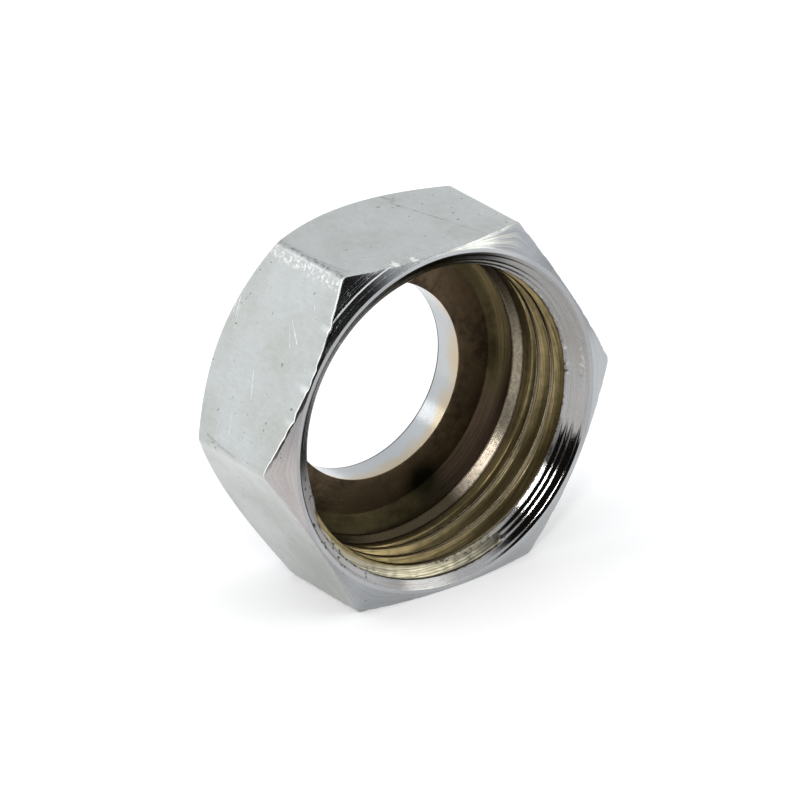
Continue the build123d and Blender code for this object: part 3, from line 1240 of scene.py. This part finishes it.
@dataclass(frozen=True)
class ThreadFinish(MetalFinish):
    """The thread: glossy brown crests with painted highlights, khaki grooves and a dull pinkish last land
    with painted shade and painted highlights.
    """

    land: Colour = (0.31, 0.268, 0.20, 1.0)
    shaded_land: Colour = (0.062, 0.049, 0.030, 1.0)
    rear_edge_highlight: Colour = (0.50, 0.46, 0.36, 1.0)
    land_highlight: Colour = (0.36, 0.29, 0.25, 1.0)
    lit_crest: Colour = (1.0, 0.93, 0.72, 1.0)
    land_start: Pair = (0.0090, 0.0091)
    land_rear: Pair = (0.00982, 0.00990)
    bright_ends: Pairs = ((0.818, 0.848), (0.17, 0.06))  # in turns
    upper_arc: Pairs = ((0, 21.6), (86.4, 108))
    land_highlight_arc: Pairs = ((297, 306), (320.4, 329.4))
    painted_shade_arc: Pairs = ((284.4, 309.6), (324, 342))

    def detail(self, sh: Shader) -> None:
        """Adds the painted crest highlights, the land's lit stretch, its painted shade elsewhere, its painted
        highlights on the back edge and on a pinkish stretch, and painted shade on an arc at the lower right
        with painted light on the rest.
        """
        beyond = sh.span(sh.y, *self.land_start)
        on_land = sh.times(beyond, sh.minus(1.0, sh.mark(GROOVE)))
        crumbs = sh.crumbs(2600.0, 3.0, 0.7)
        # Painted highlight on the crests, from the crest mark, rougher where it shows.
        lit = sh.times(sh.mark(CREST_HIGHLIGHT), sh.span(crumbs, 0.38, 0.55, 0.35, 1.0), clamp=True)
        sh.paint(lit, self.lit_crest)
        sh.roughen(lit, 0.30)
        worn = tuple(part * 0.5 for part in self.land[:3]) + (1.0,)
        tone = sh.blend(sh.span(crumbs, 0.42, 0.62, 0.0, 0.7), self.land, worn)
        # Painted shade: outside its lit stretch, and more over the upper arc, the land takes a dark shaded
        # colour.
        ends = (sh.span(sh.around, *end, smooth=True) for end in self.bright_ends)
        tone = sh.blend(sh.larger(*ends), self.shaded_land, tone)
        upper = sh.arc(*self.upper_arc)
        tone = sh.blend(sh.times(upper, 0.72), tone, self.shaded_land)
        # Painted highlight along the land's back edge on the upper arc.
        rear = sh.times(upper, sh.span(sh.y, *self.land_rear))
        tone = sh.blend(sh.times(rear, 0.8), tone, self.rear_edge_highlight)
        # Painted highlight: the pinkish stretch where the land catches the window.
        land_highlight_share = sh.arc(*self.land_highlight_arc, smooth=True)
        tone = sh.blend(sh.times(land_highlight_share, 0.22), tone, self.land_highlight)
        # Painted shade on an arc at the lower right, and painted light (a gain of 1.12) on the rest of the
        # thread's colour.
        painted_shade = sh.arc(*self.painted_shade_arc, smooth=True)
        shade = sh.span(painted_shade, 0.0, 1.0, 1.12, 0.72)
        warm_shade = sh.join(shade, shade, sh.times(shade, 0.95))
        sh.paint(1.0, warm_shade, mode="MULTIPLY")
        sh.paint(on_land, tone)
        sh.press(crumbs, 0.000006, on_land)
        sh.roughen(on_land, 0.10)


@dataclass(frozen=True)
class TaperFinish(MetalFinish):
    """The taper behind the thread: dark, with a faint reddish painted highlight and an olive patch."""

    reddish: Colour = (0.17, 0.112, 0.085, 1.0)
    olive: Colour = (0.21, 0.160, 0.080, 1.0)
    olive_angle: float = 28.0
    olive_reach: Pair = (52.0, 22.0)
    olive_radius: Pair = (0.0145, 0.0154)
    reddish_highlight_arc: Pairs = ((284.4, 306), (327.6, 349.2))

    def detail(self, sh: Shader) -> None:
        """Adds the reddish painted highlight and the olive patch; the olive one fades with the cosine of the
        angle from its middle.
        """
        # Painted highlight: streaky reddish light on the lower right of the taper.
        patch = sh.arc(*self.reddish_highlight_arc, smooth=True)
        streaky = sh.times(patch, sh.span(sh.rings, 0.38, 0.60, 0.25, 0.8))
        sh.paint(streaky, self.reddish)
        radius = sh.radius()
        toward = math.radians(self.olive_angle)
        reach = sh.plus(sh.times(sh.x, math.cos(toward)), sh.times(sh.z, math.sin(toward)))
        far, near = (math.cos(math.radians(angle)) for angle in self.olive_reach)
        facing = sh.span(sh.maths("DIVIDE", reach, radius), far, near, smooth=True)
        upper = sh.times(facing, sh.span(radius, *self.olive_radius, smooth=True))
        upper = sh.times(upper, sh.span(sh.rings, 0.36, 0.60, 0.35, 1.0))
        sh.paint(upper, self.olive)


@dataclass(frozen=True)
class SinkFinish(MetalFinish):
    """The countersink: bright where the tool cut cleanly, and dull with dark chips at the lower left."""

    dull: Colour = (0.46, 0.45, 0.44, 1.0)
    dull_arc: Pairs = ((169.2, 190.8), (226.8, 248.4))
    dull_depth: Pair = (0.00005, 0.00022)

    def detail(self, sh: Shader) -> None:
        """Adds the dull stretch and its chips."""
        stretch = sh.arc(*self.dull_arc, smooth=True)
        clean = sh.times(stretch, sh.minus(1.0, sh.mark(GROOVE)))
        clean = sh.times(clean, sh.span(sh.y, *self.dull_depth))
        sh.paint(clean, self.dull)
        sh.roughen(clean, 0.38)
        chips = sh.span(sh.crumbs(1500.0, 2.0, 0.5), 0.60, 0.66, smooth=True)
        sh.paint(sh.times(stretch, chips), self.near_black, 0.85)


@dataclass(frozen=True)
class BoreFinish(MetalFinish):
    """The conduit bore: bluish white inside, cream towards its front edge, dark at its back edge."""

    front: float = 0.0123
    warm_depth: Pair = (0.0001, 0.0016)
    drift: float = 0.0045
    back_edge: Pair = (0.01558, 0.0157)
    cream: Colour = (0.50, 0.425, 0.30, 1.0)
    white: Colour = (0.50, 0.53, 0.545, 1.0)

    def detail(self, sh: Shader) -> None:
        """Adds the cream front edge, the pale inside and the dark back edge."""
        depth = sh.plus(sh.minus(sh.y, self.front), sh.wobble(240.0, 3.0, self.drift))
        pale = sh.blend(0.5, sh.colour, self.white)
        sh.colour = sh.blend(sh.span(depth, *self.warm_depth), self.cream, pale)
        sh.paint(sh.span(sh.y, *self.back_edge, 0.0, 0.92), self.near_black)


PLATED_FLATS = FlatFinish(
    "plated_flats", (0.545, 0.565, 0.55, 1), (0.455, 0.475, 0.435, 1), (0.27, 0.37), 0.9, 0.15,
    ring_width=0.00016, ring_depth=0.0, ring_shade=0.075, grain_depth=0.0000028, pit_depth=0.000018,
    ring_share=0.0,
)
TURNED_PLATE = MetalFinish(
    "turned_plate", (0.45, 0.465, 0.48, 1), (0.38, 0.385, 0.38, 1), (0.16, 0.25), 0.6, 0.6,
    ring_width=0.00010, ring_depth=0.0000030, ring_shade=0.09, grain_depth=0.0000012,
)
CHAMFER_CUT = ChamferFinish(
    "chamfer_cut", (0.375, 0.388, 0.40, 1), (0.32, 0.325, 0.32, 1), (0.12, 0.20), 0.6, 0.6,
    ring_width=0.00014, ring_depth=0.0000036, ring_shade=0.20, grain_depth=0.0000012, pit_depth=0.00001,
)
COUNTERSINK_CUT = SinkFinish(
    "countersink_cut", (0.33, 0.325, 0.32, 1), (0.27, 0.25, 0.225, 1), (0.045, 0.09), 0.5, 0.5,
    ring_width=0.00008, ring_depth=0.0000014, ring_shade=0.25, grain_depth=0.0000005,
    khaki=(0.53, 0.49, 0.36, 1), edge_tint=0.5, streak_share=0.9,
)
THREAD_CUT = ThreadFinish(
    "thread_cut", (0.24, 0.195, 0.13, 1), (0.14, 0.105, 0.065, 1), (0.12, 0.22), 0.7, 0.4,
    ring_width=0.00010, ring_depth=0.0000030, ring_shade=0.28, grain_depth=0.0000020,
    khaki=(0.335, 0.265, 0.135, 1), edge_tint=0.7,
)
POCKET_CUT = MetalFinish(
    "pocket_cut", (0.17, 0.125, 0.078, 1), (0.05, 0.036, 0.024, 1), (0.30, 0.42), 1.0, 0.4,
    ring_width=0.00014, ring_depth=0.0000030, ring_shade=0.22, grain_depth=0.0000030,
    tarnish=(0.022, 0.020, 0.012, 1),
)
TAPER_CUT = TaperFinish(
    "taper_cut", (0.082, 0.066, 0.032, 1), (0.04, 0.031, 0.014, 1), (0.44, 0.56), 1.0, 0.2,
    ring_width=0.00020, ring_depth=0.0000040, ring_shade=0.25, grain_depth=0.0000030,
    edge_tint=0.2, tarnish=(0.022, 0.020, 0.010, 1),
)
BORE_CUT = BoreFinish(
    "bore_cut", (0.44, 0.455, 0.46, 1), (0.39, 0.37, 0.32, 1), (0.09, 0.20), 0.6, 0.4,
    ring_depth=0.0000020, ring_shade=0.05,
)
BORE_EDGE_CUT = MetalFinish(
    "bore_edge_cut", (0.10, 0.105, 0.11, 1), (0.05, 0.05, 0.05, 1), (0.25, 0.35), 0.6
)

ZONE_FINISHES = {
    Zone.FRONT_RIM: TURNED_PLATE,
    Zone.COUNTERSINK: COUNTERSINK_CUT,
    Zone.THREAD: THREAD_CUT,
    Zone.UNDERCUT: POCKET_CUT,
    Zone.RELIEF: POCKET_CUT,
    Zone.TAPER: TAPER_CUT,
    Zone.SEAT: POCKET_CUT,
    Zone.CONDUIT_BORE: BORE_CUT,
    Zone.BORE_EDGE: BORE_EDGE_CUT,
    Zone.BACK_FACE: TURNED_PLATE,
    Zone.BACK_CHAMFER: TURNED_PLATE,
    Zone.FLATS: PLATED_FLATS,
    Zone.FRONT_CHAMFER: CHAMFER_CUT,
}


@dataclass
class CompressionNut:
    """The nut itself: its surface and its finishes."""

    sizes: NutSizes

    def build(self) -> bpy.types.Object:
        """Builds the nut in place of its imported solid.

        Returns:
            The nut's object.
        """
        made = NutShell(self.sizes).build()
        finished = {}
        for zone in Zone:
            finish = ZONE_FINISHES[zone]
            if finish.name not in finished:
                finished[finish.name] = finish.dress()
            made.data.materials.append(finished[finish.name])
        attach(made, "root")
        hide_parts("compression_nut")
        log.info("nut: %d quads, %d finishes", len(made.data.polygons), len(finished))
        return made


@dataclass(frozen=True)
class CameraStand:
    """Where the camera stands: the view's angles and its place, in the nut's half widths across flats."""

    azimuth: float = -34.58
    elevation: float = 25.17
    roll: float = -2.35
    distance: float = 55.61
    across: float = 0.204
    upward: float = -0.0915
    aim_depth: float = 0.083
    lens: float = 462.3
    sensor: float = 36.0
    clip: Pair = (0.05, 20.0)

    def place(self, unit: float) -> bpy.types.Object:
        """Makes the camera: it looks back along its own line of sight, turned by the roll.

        Args:
            unit: half the width across flats, in metres.

        Returns:
            The camera, set as the scene's own.
        """
        a, e, w = (math.radians(v) for v in (self.azimuth, self.elevation, self.roll))
        back = Vector((math.sin(a) * math.cos(e), -math.cos(a) * math.cos(e), math.sin(e)))
        right = (-back).cross(Vector((0, 0, 1))).normalized()
        up = right.cross(-back)
        rolled_right = math.cos(w) * right + math.sin(w) * up
        rolled_up = -math.sin(w) * right + math.cos(w) * up
        aim = Vector((0, self.aim_depth * unit, 0))
        spot = aim + unit * (self.distance * back - self.across * rolled_right - self.upward * rolled_up)
        data = bpy.data.cameras.new("camera")
        data.lens = self.lens
        data.sensor_width = self.sensor
        data.clip_start, data.clip_end = self.clip
        made = bpy.data.objects.new("camera", data)
        turn = Matrix((rolled_right, rolled_up, back)).transposed().to_4x4()
        made.matrix_world = Matrix.Translation(spot) @ turn
        bpy.context.scene.collection.objects.link(made)
        bpy.context.scene.camera = made
        return made


@dataclass(frozen=True)
class Dimming:
    """A part of the surroundings that is darker: the way to it, the angles where it starts and is full."""

    toward: Triple
    angles: Pair
    colour: Colour
    share: float = 1.0


@dataclass(frozen=True)
class Lamp:
    """A soft light that faces the nut: its name, place and sides in metres, power in watts, and tint."""

    name: str
    spot: Triple
    size: Pair
    power: float
    tint: Triple = (1.0, 1.0, 1.0)

    def place(self) -> bpy.types.Object:
        """Makes an oblong area light, its long side leaning from the lower left to the upper right.

        Returns:
            The light's object.
        """
        data = bpy.data.lights.new(self.name, "AREA")
        data.shape = "RECTANGLE"
        data.size, data.size_y = self.size
        data.energy = self.power
        data.color = self.tint
        made = bpy.data.objects.new(self.name, data)
        away = Vector(self.spot).normalized()
        lean = Vector((1.0, 0.0, 1.0))
        long_side = (lean - away * lean.dot(away)).normalized()
        turn = Matrix((long_side, away.cross(long_side), away)).transposed().to_4x4()
        made.matrix_world = Matrix.Translation(Vector(self.spot)) @ turn
        made.visible_camera = False
        bpy.context.scene.collection.objects.link(made)
        return made


@dataclass
class Studio:
    """Pale floor, pale surroundings and soft lights."""

    floor_height: float
    floor_reach: float = 3.0
    pale: Colour = (0.95, 0.965, 1.0, 1)
    brightness: float = 1.12
    dimmings: tuple[Dimming, ...] = (
        Dimming((-0.30, -0.92, 0.26), (38, 29), (0.012, 0.011, 0.010, 1)),
        Dimming((0.514, 0.745, 0.425), (60, 15), (0.0, 0.0, 0.0, 1), 0.17),
    )
    lamps: tuple[Lamp, ...] = (
        Lamp("main_light", (-0.55, 0.35, 0.85), (0.6, 0.6), 1.6),
        Lamp("window", (-0.62, -0.76, 0.70), (0.46, 0.115), 3.4),
        Lamp("low_card", (0.70, -0.78, 0.32), (0.30, 0.30), 0.80, (1.0, 0.98, 0.88)),
        Lamp("high_card", (0.76, -0.50, 0.62), (0.42, 0.42), 0.62, (0.97, 1.0, 0.96)),
        Lamp("rear_card", (-0.56, 0.82, 0.47), (0.26, 0.26), 0.2),
    )

    def build(self) -> None:
        """Builds the floor, the surroundings and the lights."""
        self.floor()
        self.surroundings()
        for lamp in self.lamps:
            lamp.place()
        log.info("studio: floor and %d lights", len(self.lamps))

    def floor(self) -> bpy.types.Object:
        """A flat pale sheet under the nut."""
        sides = ((-1, -1), (1, -1), (1, 1), (-1, 1))
        corners = [(a * self.floor_reach, b * self.floor_reach, self.floor_height) for a, b in sides]
        mesh = bpy.data.meshes.new("floor")
        mesh.from_pydata(corners, [], [(0, 1, 2, 3)])
        made = bpy.data.objects.new("floor", mesh)
        bpy.context.scene.collection.objects.link(made)
        paper = {
            "Base Color": (0.85, 0.845, 0.84, 1),
            "Roughness": 0.9,
            "Specular IOR Level": 0.1,
            "Emission Color": (1.0, 0.985, 0.965, 1),
            "Emission Strength": 0.17,
        }
        mesh.materials.append(Shader("floor_paper").surface(paper))
        return made

    def surroundings(self) -> None:
        """A pale world with dimmings, as the open sides of a light tent have.

        Each fades in with the cosine of the angle between the line of sight and the way to its middle.
        """
        world = bpy.data.worlds.new("tent")
        bpy.context.scene.world = world
        world.use_nodes = True
        sky = Nodes(world.node_tree, "ShaderNodeOutputWorld")
        sight = sky.new("TexCoord").outputs["Generated"]
        colour = self.pale
        for part in self.dimmings:
            facing = sky.vector("DOT_PRODUCT", sight, Vector(part.toward).normalized())
            start, full = (math.cos(math.radians(angle)) for angle in part.angles)
            share = sky.span(facing, start, full, 0.0, part.share, smooth=True)
            colour = sky.blend(share, colour, part.colour)
        back = sky.new("Background", {"Color": colour, "Strength": self.brightness})
        sky.feed(sky.output.inputs["Surface"], back.outputs[0])


def main() -> None:
    """Builds the nut, the studio and the camera."""
    logging.basicConfig(level=logging.INFO, format="%(name)s: %(message)s")
    bpy.context.scene.view_settings.view_transform = "Standard"
    sizes = NutSizes.from_frame(frame)
    CompressionNut(sizes).build()
    Studio(floor_height=-sizes.half_flats * MM).build()
    CameraStand().place(sizes.half_flats * MM)


if __name__ == "__main__":
    main()
